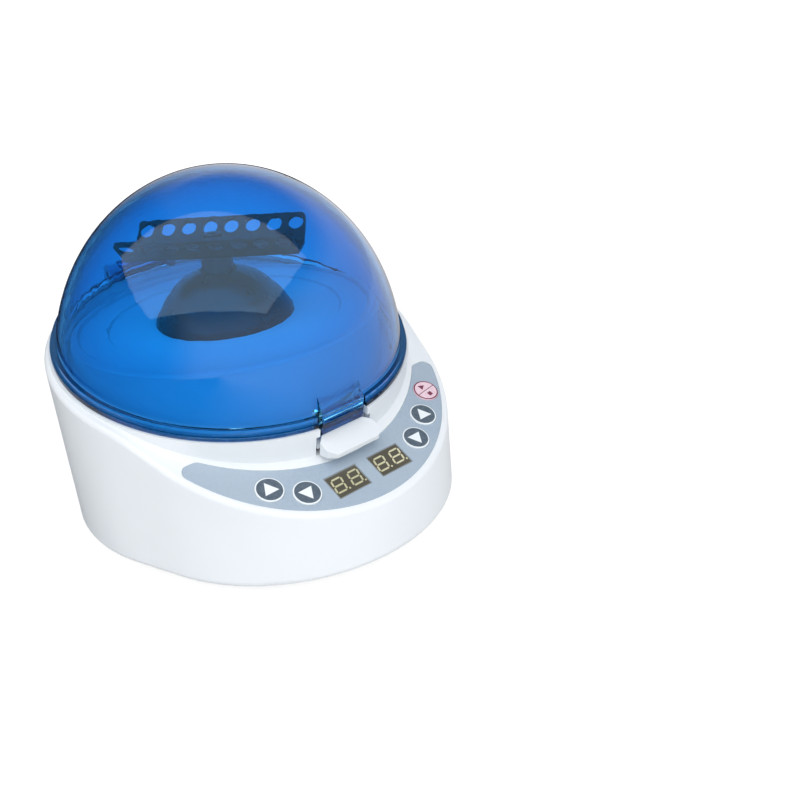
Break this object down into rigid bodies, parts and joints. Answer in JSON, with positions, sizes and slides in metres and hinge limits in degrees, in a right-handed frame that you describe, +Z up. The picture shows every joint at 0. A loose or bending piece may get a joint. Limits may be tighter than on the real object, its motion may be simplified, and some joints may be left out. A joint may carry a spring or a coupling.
{
  "type": "mini centrifuge",
  "caption": "Small bench centrifuge with a tall clear domed lid on a hinge, a tube strip rotor, a push latch and a sloping front panel with keys and displays.",
  "frame": {"origin": "on the bench, under the middle of the whole; the rotor's vertical axis stands 10.04 mm behind it", "axes": "+Z up, -Y towards the sloping front panel, +X to the user's right"},
  "size_m": [0.1524, 0.1766, 0.138],
  "materials": {
    "white_plastic": "satin moulded",
    "clear_blue": "clear tinted, glossy",
    "black_plastic": "fine texture",
    "black_gloss": "glossy with light texture",
    "overlay_grey": "satin printed film",
    "window_black": "glossy",
    "digit_face": "matt, unlit segments",
    "key_slate": "satin",
    "key_pink": "satin",
    "steel": "plain",
    "shaft_steel": "ground",
    "brass_pins": "plated",
    "rubber_black": "matt",
    "board_green": "lacquered board",
    "core_steel": "varnished laminations",
    "sink_aluminium": "extruded",
    "can_sleeve": "shrunk sleeve",
    "fuse_glass": "clear tube with metal caps",
    "header_white": "moulded"
  },
  "bodies": {
    "housing": {"upper_housing": "white_plastic", "base_plate": "white_plastic", "rubber_feet": "rubber_black", "base_screws": "steel", "chamber_bowl": "white_plastic", "chamber_screws": "steel", "motor_cover": "black_gloss", "motor": "steel", "motor_plate": "steel", "motor_isolators": "rubber_black", "motor_screws": "steel", "hinge_pin": "shaft_steel", "latch_spring": "steel", "panel_overlay": "overlay_grey", "tact_switches": "black_plastic", "display_board": "board_green", "board_screws": "steel", "lid_switch": "black_plastic", "control_board": "board_green", "power_board": "board_green", "circuit_screws": "steel", "transformer": "core_steel", "capacitors": "can_sleeve", "heat_sink": "sink_aluminium", "power_transistors": "black_plastic", "connector_headers": "header_white", "power_inlet": "black_plastic", "inlet_blades": "brass_pins", "rocker_bezel": "black_plastic", "speed_window": "window_black", "speed_digits": "digit_face", "time_window": "window_black", "time_digits": "digit_face"},
    "lid": {"lid_dome": "clear_blue"},
    "rotor": {"motor_shaft": "shaft_steel", "strip_rotor": "black_plastic", "rotor_screw": "black_plastic"},
    "latch": {"latch_button": "white_plastic"},
    "speed_down": {"speed_down_button": "key_slate"},
    "speed_up": {"speed_up_button": "key_slate"},
    "time_down": {"time_down_button": "key_slate"},
    "time_up": {"time_up_button": "key_slate"},
    "start_stop": {"start_stop_button": "key_pink"},
    "plunger": {"lid_switch_plunger": "header_white"},
    "drawer": {"fuse_drawer": "black_plastic", "fuse": "fuse_glass"},
    "rocker": {"rocker_paddle": "black_gloss"}
  },
  "joints": [
    {"name": "lid_hinge", "type": "hinge", "parent": "housing", "child": "lid", "pos_m": [0, 0.08233, 0.08641], "axis": [-1, 0, 0], "range_deg": [0, 85]},
    {"name": "rotor_spin", "type": "hinge", "parent": "housing", "child": "rotor", "pos_m": [0, 0.01005, 0.1], "axis": [0, 0, 1], "continuous": true},
    {"name": "latch_slide", "type": "slide", "parent": "housing", "child": "latch", "axis": [0, 0.9744, 0.225], "range_m": [0, 0.0025], "stiffness_N_per_m": 600, "deforming": ["latch_spring"]},
    {"name": "speed_down_press", "type": "slide", "parent": "housing", "child": "speed_down", "axis": [0, 0.4384, -0.8988], "range_m": [0, 0.0008], "stiffness_N_per_m": 1500},
    {"name": "speed_up_press", "type": "slide", "parent": "housing", "child": "speed_up", "axis": [0, 0.4384, -0.8988], "range_m": [0, 0.0008], "stiffness_N_per_m": 1500},
    {"name": "time_down_press", "type": "slide", "parent": "housing", "child": "time_down", "axis": [0, 0.4384, -0.8988], "range_m": [0, 0.0008], "stiffness_N_per_m": 1500},
    {"name": "time_up_press", "type": "slide", "parent": "housing", "child": "time_up", "axis": [0, 0.4384, -0.8988], "range_m": [0, 0.0008], "stiffness_N_per_m": 1500},
    {"name": "start_stop_press", "type": "slide", "parent": "housing", "child": "start_stop", "axis": [0, 0.4384, -0.8988], "range_m": [0, 0.0008], "stiffness_N_per_m": 1500},
    {"name": "plunger_rise", "type": "slide", "parent": "housing", "child": "plunger", "axis": [0, -0.4384, 0.8988], "range_m": [0, 0.0004]},
    {"name": "drawer_slide", "type": "slide", "parent": "housing", "child": "drawer", "axis": [0, 1, 0], "range_m": [0, 0.016]},
    {"name": "rocker_tilt", "type": "hinge", "parent": "housing", "child": "rocker", "pos_m": [-0.02, 0.06904, 0.029], "axis": [0, 0, -1], "range_deg": [0, 20]}
  ]
}
